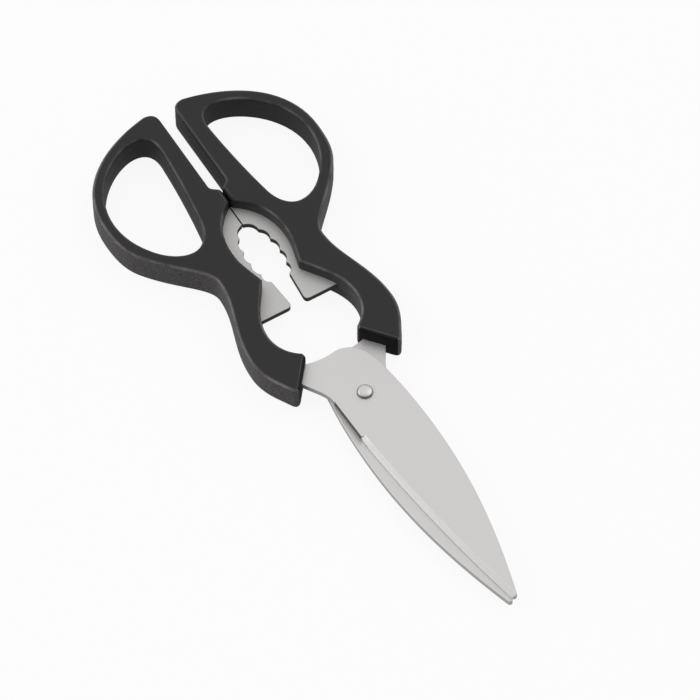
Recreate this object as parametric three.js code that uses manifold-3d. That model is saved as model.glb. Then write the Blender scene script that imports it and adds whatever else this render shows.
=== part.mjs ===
// Household scissors with a toothed jaw and a bottle opener between the handles.
// Millimetres, +Z up, blades pointing to +X. One half is drawn about the pivot, with its handle on the +Y side
// and its blade below the middle plane. The other half is the same half turned over about X.

import * as THREE from "three";
import { mergeVertices } from "three/addons/utils/BufferGeometryUtils.js";
import Module from "manifold-3d";

const wasm = await Module();
wasm.setup();

// Blades, measured from the pivot: reaches along X, offsets across
const BLADE_REACH = 85.5;
const BLADE_THICKNESS = 2;
const BLADE_GAP = 0.1;
const SPINE_PEAK = 22;
const SPINE_OFFSET = 11.95;
const SHOULDER_REACH = 3.2;
const SHOULDER_OFFSET = 10.35;
const BACK_REACH = 17.8;
const BACK_HOLLOW = 1;
const NECK_REACH = 1.5;
const NECK_OFFSET = 9.9;
const EDGE_OFFSET = 9.45;
const EDGE_BELLY = 49;
const EDGE_BELLY_OFFSET = 7.2;
const TIP_WIDTH = 1.4;
const TIP_SLANT = 0.3;
const GRIND_START = 13.5;
const GRIND_WIDTH = 1.3;
const GRIND_TIP_WIDTH = 1.4;
const GRIND_HEEL_DEPTH = 0.5;
const GRIND_LAND = 0.2;

// Tang, the part of a blade inside its handle
const TANG_WIDTH = 7.6;
const TANG_END = 33;
const TANG_COVER = 2.3;
const TANG_HOLE_RADIUS = 1.3;
const TANG_HOLE_REACH = 29;

// Rivet and washer at the pivot
const RIVET_RADIUS = 2;
const RIVET_CLEARANCE = 0.1;
const RIVET_HEAD_RADIUS = 2.55;
const RIVET_HEAD_HEIGHT = 1;
const RIVET_TAIL_RADIUS = 2.5;
const RIVET_TAIL_HEIGHT = 0.7;
const WASHER_RADIUS = 4;
const WASHER_THICKNESS = 0.6;
const WASHER_CHAMFER = 0.15;

// Handles: thickness, finger loop and the ring around it
const HANDLE_THICKNESS = 10.6;
const HANDLE_END_THICKNESS = 9.6;
const HANDLE_EDGE_RADIUS = 1.1;
const HANDLE_GAP = 6;
const LOOP_NEAR = 71.1;
const LOOP_LENGTH = 46.5;
const LOOP_SIDE = 9;
const LOOP_WIDTH = 26.7;
const LOOP_FLARE = 3.4;
const LOOP_NEAR_ROUND = 8.3;
const LOOP_FAR_ROUND = 7;
const LOOP_CREST = 93.4;
const RING_FAR = 7.2;
const RING_OUTER = 3.7;
const RING_CORNER = 4.2;
const RING_SHOULDER_BACK = 16;
const RING_SHOULDER_DROP = 3.95;

// Handles: closing stop, jaw window, spur, opener recess, waist, arm and end face
const STOP_NEAR = 82.2;
const STOP_LENGTH = 4.4;
const STOP_RAMP = 4;
const STOP_GAP = 0.3;
const JAW_CENTRE = 63.9;
const JAW_DEPTH = 9.4;
const SPUR_REACH = 50.8;
const SPUR_OFFSET = 6.7;
const OPENER_REACH = 31.8;
const OPENER_DEPTH = 15.7;
const WAIST_REACH = 56.6;
const WAIST_OFFSET = 19;
const ARM_REACH = 25.4;
const ARM_OFFSET = 25.5;
const THINNING_REACH = 46;
const END_FACE_DISTANCE = 19.6;
const END_FACE_ANGLE = THREE.MathUtils.degToRad(129.3);
const END_INNER_REACH = 9.4;
const END_OUTER_REACH = 5.4;
const END_INNER_ROUND = 1.6;
const END_OUTER_ROUND = 3.8;

// Jaw plates, moulded into the handles
const PLATE_THICKNESS = 2;
const PLATE_ANCHOR = 4;
const PLATE_HOLE_RADIUS = 1.1;
const PLATE_TAIL = 2.7;
const SEAM_NEAR = 74.4;
const TOOTH_COUNT = 4;
const TOOTH_PITCH = 5.15;
const TOOTH_DEPTH = 1;
const TOOTH_ARC_RADIUS = 26;
const TOOTH_ARC_CENTRE = 61;
const TOOTH_ARC_OFFSET = 5.25;
const FIRST_TOOTH = 55.1;
const TONGUE_ROOT = 50.9;
const TONGUE_ROOT_OFFSET = 3.3;
const TONGUE_END = 39.6;
const TONGUE_END_OFFSET = 2.5;
const TONGUE_ROUND = 1.6;

// Clearance between a moulded-in steel piece and the plastic around it
const MOULD_GAP = 0.2;

// Steps along each curved stretch of an outline, around an edge and around a turned piece
const CURVE_STEPS = 8;
const EDGE_STEPS = 3;
const TURN_STEPS = 40;

const bladeTop = -BLADE_GAP / 2;
const bladeBottom = bladeTop - BLADE_THICKNESS;
const loopFar = LOOP_NEAR + LOOP_LENGTH;
const loopTop = LOOP_SIDE + LOOP_WIDTH;
const handleFar = loopFar + RING_FAR;
const handleTop = loopTop + RING_OUTER;
const stopFar = STOP_NEAR + STOP_LENGTH;
const tangOuterSide = ARM_OFFSET - TANG_COVER;
const tangInnerSide = OPENER_DEPTH + TANG_COVER;

// A point on the handle's end face, which crosses the tang, at a distance along that face
function endFacePoint(along) {
  const outwards = new THREE.Vector2(Math.cos(END_FACE_ANGLE), Math.sin(END_FACE_ANGLE));
  const alongFace = new THREE.Vector2(outwards.y, -outwards.x);
  return outwards.multiplyScalar(END_FACE_DISTANCE).addScaledVector(alongFace, along);
}

// A cubic curve to (x, y), its two handles given as shares of the step across and up
function sweep(path, x, y, [firstAcross, firstUp, secondAcross, secondUp]) {
  const { x: startX, y: startY } = path.currentPoint;
  const across = x - startX;
  const up = y - startY;
  path.bezierCurveTo(
    startX + across * firstAcross,
    startY + up * firstUp,
    startX + across * secondAcross,
    startY + up * secondUp,
    x,
    y,
  );
}

// A hollow of a set depth, on the left of the way to (x, y)
function scallop(path, x, y, depth) {
  const start = path.currentPoint.clone();
  const along = new THREE.Vector2(x, y).sub(start);
  const left = new THREE.Vector2(-along.y, along.x).normalize();
  const control = start.addScaledVector(along, 0.5).addScaledVector(left, 2 * depth);
  path.quadraticCurveTo(control.x, control.y, x, y);
}

// A round hole
function roundHole({ x, y }, radius) {
  return new THREE.Path().absarc(x, y, radius, 0, 2 * Math.PI, true);
}

// A counterclockwise outline moved outwards by a distance, with mitred corners
function grown(shape, distance) {
  const points = shape.getPoints(CURVE_STEPS);
  const ring = points.filter((point, i) => point.distanceTo(points.at(i - 1)) > 1e-6);
  const normals = ring.map((point, i) => {
    const along = ring[(i + 1) % ring.length].clone().sub(point).normalize();
    return new THREE.Vector2(along.y, -along.x);
  });
  const moved = ring.map((point, i) => {
    const mitre = normals[i].clone().add(normals.at(i - 1));
    return point.clone().addScaledVector(mitre, (2 * distance) / mitre.lengthSq());
  });
  return new THREE.Shape(moved);
}

// A plate between two heights
function slab(shape, bottom, top) {
  const options = { depth: top - bottom, bevelEnabled: false, curveSegments: CURVE_STEPS };
  return new THREE.ExtrudeGeometry(shape, options).translate(0, 0, bottom);
}

// A closed geometry as a solid that can be cut
function toSolid(geometry) {
  const bare = geometry.clone();
  bare.deleteAttribute("normal");
  bare.deleteAttribute("uv");
  const welded = mergeVertices(bare, 1e-4);
  return new wasm.Manifold(new wasm.Mesh({
    numProp: 3,
    vertProperties: new Float32Array(welded.attributes.position.array),
    triVerts: new Uint32Array(welded.index.array),
  }));
}

// A solid as a geometry
function toGeometry(solid) {
  const mesh = solid.getMesh();
  const geometry = new THREE.BufferGeometry();
  geometry.setAttribute("position", new THREE.BufferAttribute(mesh.vertProperties, 3));
  geometry.setIndex(new THREE.BufferAttribute(mesh.triVerts, 1));
  geometry.computeVertexNormals();
  return geometry;
}

const tangOuter = endFacePoint(0);
const tangInner = endFacePoint(-TANG_WIDTH);
const tangHole = new THREE.Vector2(-TANG_HOLE_REACH, (tangOuterSide + tangInnerSide) / 2);
const plateHoles = [
  new THREE.Vector2(-JAW_CENTRE, JAW_DEPTH + PLATE_ANCHOR / 2),
  new THREE.Vector2(-(SPUR_REACH + TONGUE_END) / 2, (SPUR_OFFSET + OPENER_DEPTH) / 2 + PLATE_ANCHOR / 2),
];

// The cutting edge, from the start of the grind to the tip
const cuttingEdge = new THREE.QuadraticBezierCurve(
  new THREE.Vector2(GRIND_START, EDGE_OFFSET),
  new THREE.Vector2(EDGE_BELLY, EDGE_BELLY_OFFSET),
  new THREE.Vector2(BLADE_REACH, 0),
);

// Blade blank: neck, tang inside the handle, round back, spine, blunt tip and cutting edge
function bladeShape() {
  const shape = new THREE.Shape();
  shape.moveTo(GRIND_START, EDGE_OFFSET);
  shape.lineTo(-NECK_REACH, NECK_OFFSET);
  sweep(shape, tangOuter.x, tangOuter.y, [0.38, 0.06, 0.66, 0.59]);
  sweep(shape, -ARM_REACH, tangOuterSide, [0.35, 0.52, 0.57, 1]);
  shape.lineTo(-TANG_END, tangOuterSide);
  shape.lineTo(-TANG_END, tangInnerSide);
  sweep(shape, tangInner.x, tangInner.y, [0.47, 0, 0.63, 0.31]);
  shape.quadraticCurveTo(-BACK_REACH + BACK_HOLLOW, tangInner.y / 2, -BACK_REACH, 0);
  sweep(shape, -SHOULDER_REACH, -SHOULDER_OFFSET, [0, 0.68, 0.43, 0.925]);
  sweep(shape, SPINE_PEAK, -SPINE_OFFSET, [0.3, 0.67, 0.6, 1]);
  sweep(shape, BLADE_REACH - TIP_SLANT, -TIP_WIDTH, [0.38, 0, 0.7, 0.45]);
  shape.lineTo(BLADE_REACH, 0);
  shape.quadraticCurveTo(EDGE_BELLY, EDGE_BELLY_OFFSET, GRIND_START, EDGE_OFFSET);
  return shape;
}

// Wedge that grinds the cutting edge from the blade's outer face, a triangle carried along the edge.
// It starts shallow at the heel and runs in to its full depth.
function grindWedge() {
  const overshoot = 0.5;
  const steps = 2 * CURVE_STEPS;
  const fullDepth = BLADE_THICKNESS - GRIND_LAND;
  const positions = [];
  for (let i = 0; i <= steps; i += 1) {
    const share = i / steps;
    const along = cuttingEdge.getTangent(share);
    const outwards = new THREE.Vector2(-along.y, along.x);
    const width = THREE.MathUtils.lerp(GRIND_WIDTH, GRIND_TIP_WIDTH, share);
    const edge = cuttingEdge.getPoint(share);
    if (i === steps) {
      edge.addScaledVector(along, 1);
    }
    const foot = edge.clone().addScaledVector(outwards, -width * (1 + overshoot));
    const top = edge.clone().addScaledVector(outwards, width * overshoot);
    const depth = i === 0 ? GRIND_HEEL_DEPTH : fullDepth;
    const drop = depth * overshoot;
    positions.push(foot.x, foot.y, bladeBottom - drop);
    positions.push(top.x, top.y, bladeBottom - drop);
    positions.push(top.x, top.y, bladeBottom + depth + drop);
  }
  const faces = [0, 2, 1];
  for (let i = 0; i < steps; i += 1) {
    for (let side = 0; side < 3; side += 1) {
      const here = 3 * i + side;
      const next = 3 * i + ((side + 1) % 3);
      faces.push(here, next, here + 3, next, next + 3, here + 3);
    }
  }
  const last = 3 * steps;
  faces.push(last, last + 1, last + 2);
  const geometry = new THREE.BufferGeometry();
  geometry.setAttribute("position", new THREE.Float32BufferAttribute(positions, 3));
  geometry.setIndex(faces);
  return geometry;
}

function bladeGeometry() {
  const shape = bladeShape();
  shape.holes.push(roundHole(new THREE.Vector2(0, 0), RIVET_RADIUS + RIVET_CLEARANCE));
  shape.holes.push(roundHole(tangHole, TANG_HOLE_RADIUS));
  return toGeometry(toSolid(slab(shape, bladeBottom, bladeTop)).subtract(toSolid(grindWedge())));
}

// Jaw plate: seam, scalloped teeth, tongue of the opener and the flange held in the plastic
function plateShape() {
  const shape = new THREE.Shape();
  const seam = STOP_GAP / 2;
  const tail = STOP_NEAR + PLATE_TAIL;
  shape.moveTo(-tail, seam);
  shape.lineTo(-SEAM_NEAR, seam);
  const firstAngle = Math.asin((TOOTH_ARC_CENTRE - FIRST_TOOTH) / TOOTH_ARC_RADIUS);
  for (let i = TOOTH_COUNT - 1; i >= 0; i -= 1) {
    const angle = firstAngle - (i * TOOTH_PITCH) / TOOTH_ARC_RADIUS;
    const x = -TOOTH_ARC_CENTRE + TOOTH_ARC_RADIUS * Math.sin(angle);
    const y = TOOTH_ARC_OFFSET - TOOTH_ARC_RADIUS * (1 - Math.cos(angle));
    scallop(shape, x, y, TOOTH_DEPTH);
  }
  scallop(shape, -TONGUE_ROOT, TONGUE_ROOT_OFFSET, TOOTH_DEPTH);
  shape.lineTo(-TONGUE_END - TONGUE_ROUND, TONGUE_END_OFFSET);
  shape.quadraticCurveTo(-TONGUE_END, TONGUE_END_OFFSET, -TONGUE_END, TONGUE_END_OFFSET + TONGUE_ROUND);
  shape.lineTo(-TONGUE_END, OPENER_DEPTH + PLATE_ANCHOR / 3);
  sweep(shape, -JAW_CENTRE, JAW_DEPTH + PLATE_ANCHOR, [0.33, 0.6, 0.6, 0.95]);
  sweep(shape, -tail, seam + PLATE_ANCHOR, [0.36, 0, 0.7, 0.48]);
  shape.closePath();
  return shape;
}

function plateGeometry() {
  const shape = plateShape();
  for (const hole of plateHoles) {
    shape.holes.push(roundHole(hole, PLATE_HOLE_RADIUS));
  }
  return slab(shape, -PLATE_THICKNESS / 2, PLATE_THICKNESS / 2);
}

// Finger loop
function loopPath() {
  const path = new THREE.Path();
  const nearRound = -LOOP_NEAR - LOOP_NEAR_ROUND;
  const farRound = -loopFar + LOOP_FAR_ROUND;
  path.moveTo(farRound, LOOP_SIDE);
  sweep(path, nearRound, LOOP_SIDE + LOOP_FLARE, [0.33, 0.15, 0.72, 0.56]);
  sweep(path, -LOOP_NEAR, LOOP_SIDE + LOOP_WIDTH * 0.4, [0.55, 0.12, 1, 0.49]);
  sweep(path, nearRound, loopTop - LOOP_WIDTH * 0.16, [0, 0.4, 0.47, 0.78]);
  sweep(path, -LOOP_CREST, loopTop, [0.27, 0.6, 0.62, 1]);
  sweep(path, -loopFar, LOOP_SIDE + LOOP_WIDTH * 0.22, [0.6, 0, 1, 0.66]);
  sweep(path, farRound, LOOP_SIDE, [0, 0.75, 0.375, 1]);
  return path;
}

// Handle outline, from the far end along the inner side to the end face and back along the outer side
function handleShape() {
  const shape = new THREE.Shape();
  const innerSide = HANDLE_GAP / 2;
  const stopFace = STOP_GAP / 2;
  const armPeak = new THREE.Vector2(-ARM_REACH, ARM_OFFSET);
  const openerPeak = new THREE.Vector2(-OPENER_REACH, OPENER_DEPTH);
  const innerCorner = endFacePoint(-END_INNER_REACH);
  const outerCorner = endFacePoint(END_OUTER_REACH);
  const roundIn = openerPeak.clone().sub(innerCorner).setLength(END_INNER_ROUND).add(innerCorner);
  const faceStart = endFacePoint(-END_INNER_REACH + END_INNER_ROUND);
  const faceEnd = endFacePoint(END_OUTER_REACH - END_OUTER_ROUND);
  const roundOut = armPeak.clone().sub(outerCorner).setLength(END_OUTER_ROUND).add(outerCorner);

  shape.moveTo(-handleFar + RING_CORNER, innerSide);
  shape.lineTo(-stopFar - STOP_RAMP, innerSide);
  sweep(shape, -stopFar, stopFace, [0.5, 0, 0.5, 1]);
  shape.lineTo(-STOP_NEAR, stopFace);
  sweep(shape, -JAW_CENTRE, JAW_DEPTH, [0.29, 0.74, 0.59, 1]);
  sweep(shape, -SPUR_REACH, SPUR_OFFSET, [0.38, 0, 0.69, 0.7]);
  sweep(shape, openerPeak.x, openerPeak.y, [0.23, 0.26, 0.57, 1]);
  sweep(shape, roundIn.x, roundIn.y, [0.5, 0, 0.82, 0.5]);
  shape.quadraticCurveTo(innerCorner.x, innerCorner.y, faceStart.x, faceStart.y);
  shape.lineTo(faceEnd.x, faceEnd.y);
  shape.quadraticCurveTo(outerCorner.x, outerCorner.y, roundOut.x, roundOut.y);
  sweep(shape, armPeak.x, armPeak.y, [0.25, 0.45, 0.6, 1]);
  sweep(shape, -WAIST_REACH, WAIST_OFFSET, [0.41, 0, 0.66, 1]);
  sweep(shape, -LOOP_CREST + RING_SHOULDER_BACK, handleTop - RING_SHOULDER_DROP, [0.26, 0, 0.56, 0.52]);
  sweep(shape, -LOOP_CREST, handleTop, [0.29, 0.7, 0.61, 1]);
  sweep(shape, -handleFar, innerSide + RING_CORNER, [0.59, 0, 0.9, 0.49]);
  shape.quadraticCurveTo(-handleFar, innerSide, -handleFar + RING_CORNER, innerSide);
  shape.holes.push(loopPath());
  return shape;
}

// Thins a moulding towards its end face
function thinned(geometry) {
  const position = geometry.attributes.position;
  for (let i = 0; i < position.count; i += 1) {
    const share = THREE.MathUtils.smoothstep(position.getX(i), -THINNING_REACH, -END_FACE_DISTANCE);
    const thickness = THREE.MathUtils.lerp(HANDLE_THICKNESS, HANDLE_END_THICKNESS, share);
    position.setZ(i, (position.getZ(i) * thickness) / HANDLE_THICKNESS);
  }
  return geometry;
}

// Handle moulding with rounded edges, moulded around the tang and the jaw plate and through their holes
function handleGeometry() {
  const depth = HANDLE_THICKNESS - 2 * HANDLE_EDGE_RADIUS;
  const moulding = new THREE.ExtrudeGeometry(handleShape(), {
    depth,
    bevelThickness: HANDLE_EDGE_RADIUS,
    bevelSize: HANDLE_EDGE_RADIUS,
    bevelOffset: -HANDLE_EDGE_RADIUS,
    bevelSegments: EDGE_STEPS,
    curveSegments: CURVE_STEPS,
  }).translate(0, 0, -depth / 2);
  const tangPocket = grown(bladeShape(), MOULD_GAP);
  tangPocket.holes.push(roundHole(tangHole, TANG_HOLE_RADIUS - MOULD_GAP));
  const platePocket = grown(plateShape(), MOULD_GAP);
  for (const hole of plateHoles) {
    platePocket.holes.push(roundHole(hole, PLATE_HOLE_RADIUS - MOULD_GAP));
  }
  const plateReach = PLATE_THICKNESS / 2 + MOULD_GAP;
  const cut = toSolid(thinned(moulding))
    .subtract(toSolid(slab(tangPocket, bladeBottom - MOULD_GAP, bladeTop + MOULD_GAP)))
    .subtract(toSolid(slab(platePocket, -plateReach, plateReach)));
  return toGeometry(cut);
}

// A piece turned about Z from a profile of radius and height
function turned(profile) {
  const points = profile.map(([radius, height]) => new THREE.Vector2(radius, height));
  return new THREE.LatheGeometry(points, TURN_STEPS).rotateX(Math.PI / 2);
}

const washerTop = bladeBottom - RIVET_CLEARANCE;
const washerBottom = washerTop - WASHER_THICKNESS;
const headSeat = -bladeBottom + RIVET_CLEARANCE;
const tailSeat = washerBottom - RIVET_CLEARANCE;

// Rivet: peened tail below, plain shank, low domed head above
function rivetGeometry() {
  const dome = (radius, height, seat, share) => [radius * Math.cos(share), seat + height * Math.sin(share)];
  const quarter = Math.PI / 2;
  const profile = [[0, tailSeat - RIVET_TAIL_HEIGHT]];
  for (let i = 1; i <= EDGE_STEPS; i += 1) {
    profile.push(dome(RIVET_TAIL_RADIUS, -RIVET_TAIL_HEIGHT, tailSeat, quarter * (1 - i / EDGE_STEPS)));
  }
  profile.push([RIVET_RADIUS, tailSeat], [RIVET_RADIUS, headSeat]);
  for (let i = 0; i < 2 * EDGE_STEPS; i += 1) {
    profile.push(dome(RIVET_HEAD_RADIUS, RIVET_HEAD_HEIGHT, headSeat, (quarter * i) / (2 * EDGE_STEPS)));
  }
  profile.push([0, headSeat + RIVET_HEAD_HEIGHT]);
  return turned(profile);
}

function washerGeometry() {
  const bore = RIVET_RADIUS + RIVET_CLEARANCE;
  return turned([
    [bore, washerBottom],
    [WASHER_RADIUS - WASHER_CHAMFER, washerBottom],
    [WASHER_RADIUS, washerBottom + WASHER_CHAMFER],
    [WASHER_RADIUS, washerTop],
    [bore, washerTop],
    [bore, washerBottom],
  ]);
}

function piece(name, geometry, color, roughness, metalness) {
  const mesh = new THREE.Mesh(geometry, new THREE.MeshStandardMaterial({ color, roughness, metalness }));
  mesh.name = name;
  return mesh;
}

const steelBlade = bladeGeometry();
const steelPlate = plateGeometry();
const mouldedHandle = handleGeometry();

// One half: a blade, a jaw plate and the handle that holds them
function half(bladeName, plateName, handleName) {
  const group = new THREE.Group();
  group.add(piece(bladeName, steelBlade, 0xc4c4c2, 0.35, 1));
  group.add(piece(plateName, steelPlate, 0xb4b4b2, 0.4, 1));
  group.add(piece(handleName, mouldedHandle, 0x262526, 0.55, 0));
  return group;
}

const lowerHalf = half("lower_blade", "right_jaw_plate", "right_handle");
const upperHalf = half("upper_blade", "left_jaw_plate", "left_handle");
upperHalf.rotation.x = Math.PI;

const scissors = new THREE.Group();
scissors.add(lowerHalf, upperHalf);
scissors.add(piece("pivot_rivet", rivetGeometry(), 0xcfcfcd, 0.2, 1));
scissors.add(piece("pivot_washer", washerGeometry(), 0xbdbdbb, 0.3, 1));
scissors.position.set((handleFar - BLADE_REACH) / 2, 0, HANDLE_THICKNESS / 2);

export default scissors;
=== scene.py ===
"""Household scissors, closed and lying flat: blades, jaw plates, moulded handles and riveted pivot.

Outlines are drawn in millimetres about the pivot, for the half whose handle lies on the +Y side. The
other half is the same half turned over about X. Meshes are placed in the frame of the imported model,
in metres.
"""

import logging
import math
from collections.abc import Callable, Sequence
from dataclasses import dataclass, field, replace
from enum import Enum

import bpy
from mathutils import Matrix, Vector
from mathutils.geometry import tessellate_polygon


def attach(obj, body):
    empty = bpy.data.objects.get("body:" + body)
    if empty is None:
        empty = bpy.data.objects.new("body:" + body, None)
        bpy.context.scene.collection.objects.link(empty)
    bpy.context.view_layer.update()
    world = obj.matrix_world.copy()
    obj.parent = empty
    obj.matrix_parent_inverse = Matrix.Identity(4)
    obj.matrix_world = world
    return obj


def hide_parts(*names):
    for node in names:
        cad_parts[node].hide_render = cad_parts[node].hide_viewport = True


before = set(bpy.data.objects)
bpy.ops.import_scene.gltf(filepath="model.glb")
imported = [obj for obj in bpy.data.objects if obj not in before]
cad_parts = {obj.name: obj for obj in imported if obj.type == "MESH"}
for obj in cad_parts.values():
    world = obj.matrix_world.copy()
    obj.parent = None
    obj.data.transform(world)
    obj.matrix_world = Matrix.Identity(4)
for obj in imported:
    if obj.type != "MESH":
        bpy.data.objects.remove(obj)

LOG = logging.getLogger("scissors")

MILLIMETRE = 0.001
PIVOT_X = 19.65
PIVOT_Z = 5.3
LOOP_NEAR = 71.1
STOP_NEAR = 82.2
STOP_GAP = 0.3
JAW_CENTRE = 63.9
JAW_DEPTH = 9.4
SPUR_REACH = 50.8
SPUR_OFFSET = 6.7
OPENER_REACH = 31.8
OPENER_DEPTH = 15.7
ARM_REACH = 25.4
ARM_OFFSET = 25.5
END_FACE_DISTANCE = 19.6
END_FACE_ANGLE = math.radians(129.3)

SAME_POINT = 1e-5
NO_AREA = 1e-22
SHARPEST_MITRE = 0.8
NOISE_RANGE = (0.36, 0.66)
SMOOTH_WEAR_AND_SHEEN = 0.35
GRAIN_WEAR_AND_SHEEN = 4.0
GROUND_FADE = 0.4
WHITE = (1.0, 1.0, 1.0, 1.0)

Ring = list[Vector]
Shares = tuple[float, float, float, float]
Colour = tuple[float, float, float, float]
Station = tuple[float, float, float, float]


class Side(Enum):
    """Which half of the scissors a piece belongs to, as the sign of its Y and Z in the drawing."""

    LOWER = 1
    UPPER = -1

    @property
    def body(self) -> str:
        """Name of the rigid body that the half's pieces ride on."""
        return "lower_half" if self is Side.LOWER else "upper_half"

    def place(self, point: Vector) -> Vector:
        """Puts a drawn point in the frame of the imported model.

        Args:
            point: Point about the pivot, in millimetres.

        Returns:
            The same point of this half in the row frame, in metres.
        """
        sign = self.value
        return Vector((point.x + PIVOT_X, sign * point.y, sign * point.z + PIVOT_Z)) * MILLIMETRE


def end_face_point(along: float) -> Vector:
    """Point on the handle's end face, which crosses the tang.

    Args:
        along: Distance along the face from the tang's outer side, in millimetres.

    Returns:
        The point, about the pivot.
    """
    out_x, out_y = math.cos(END_FACE_ANGLE), math.sin(END_FACE_ANGLE)
    return Vector((out_x, out_y)) * END_FACE_DISTANCE + Vector((out_y, -out_x)) * along


@dataclass
class Outline:
    """A closed outline drawn stretch by stretch, in millimetres.

    Attributes:
        steps: Steps along each curved stretch.
        points: Points drawn so far.
    """

    steps: int = 20
    points: Ring = field(default_factory=list)

    def line(self, x: float, y: float) -> None:
        """Draws straight to a point, or starts the outline there."""
        self.points.append(Vector((x, y)))

    def divided_line(self, x: float, y: float, steps: int) -> None:
        """Draws straight to a point in several equal steps."""
        start = self.points[-1].copy()
        for step in range(1, steps + 1):
            self.points.append(start.lerp(Vector((x, y)), step / steps))

    def sweep(self, x: float, y: float, shares: Shares) -> None:
        """Draws a cubic curve.

        Args:
            x: Reach of the curve's end.
            y: Offset of the curve's end.
            shares: The curve's two handles, as shares of the step across and up.
        """
        start, end = self.points[-1].copy(), Vector((x, y))
        step = end - start
        first = start + Vector((step.x * shares[0], step.y * shares[1]))
        second = start + Vector((step.x * shares[2], step.y * shares[3]))
        for index in range(1, self.steps + 1):
            t = index / self.steps
            u = 1.0 - t
            self.points.append(u**3 * start + 3 * u * u * t * first + 3 * u * t * t * second + t**3 * end)

    def bow(self, control: Vector, end: Vector) -> None:
        """Draws a quadratic curve.

        Args:
            control: The curve's control point.
            end: The curve's end.
        """
        start = self.points[-1].copy()
        for index in range(1, self.steps + 1):
            t = index / self.steps
            u = 1.0 - t
            self.points.append(u * u * start + 2 * u * t * control + t * t * end)

    def scallop(self, end: Vector, depth: float) -> None:
        """Draws a hollow on the left of the way to its end.

        Args:
            end: The hollow's end.
            depth: Its depth at the middle.
        """
        start = self.points[-1].copy()
        along = end - start
        left = Vector((-along.y, along.x)).normalized()
        self.bow(start + 0.5 * along + 2.0 * depth * left, end)

    def ring(self) -> Ring:
        """Points of the outline, without repeated ones."""
        before = self.points[-1:] + self.points[:-1]
        return [p for p, last in zip(self.points, before) if (p - last).length > SAME_POINT]


def circle(centre: Vector, radius: float, steps: int) -> Ring:
    """Round hole, drawn clockwise.

    Args:
        centre: Centre of the hole.
        radius: Its radius.
        steps: Number of points.

    Returns:
        The hole's points.
    """
    angles = [-2.0 * math.pi * i / steps for i in range(steps)]
    return [centre + radius * Vector((math.cos(a), math.sin(a))) for a in angles]


def inward(ring: Ring) -> Ring:
    """Mitred directions into the material, at each point of an outline or a hole.

    Args:
        ring: Outline drawn counterclockwise, or hole drawn clockwise.

    Returns:
        One direction for each point. A step of one along it moves both walls there by one.
    """
    count = len(ring)
    normals = []
    for i in range(count):
        along = (ring[(i + 1) % count] - ring[i]).normalized()
        normals.append(Vector((-along.y, along.x)))
    mitres = []
    for i in range(count):
        both = normals[i] + normals[i - 1]
        mitres.append(both * (2.0 / max(both.length_squared, SHARPEST_MITRE)))
    return mitres


class Mark(Enum):
    """Masks that are stored at a mesh's points for its finish and for painted highlight and shade, each from
    0 to 1.
    """

    EDGE = "edge_wear"
    WALL = "side_wall"
    GROUND = "ground_face"


Marks = dict[Mark, list[float]]


@dataclass(frozen=True)
class Layer:
    """One ring of a wall.

    Attributes:
        inset: How far the ring lies inside the outline.
        height: Its height above the middle plane.
        edge: Share of edge polish and painted highlight on it, from 0 to 1.
        wall: Share of cut or moulded side wall on it, from 0 to 1; painted shade on steel, partly painted
            light on plastic.
        rim: Share of painted highlight on it beside a smooth end or stop face, from 0 to 1.
    """

    inset: float
    height: float
    edge: float = 0.0
    wall: float = 0.0
    rim: float = 0.0


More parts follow.
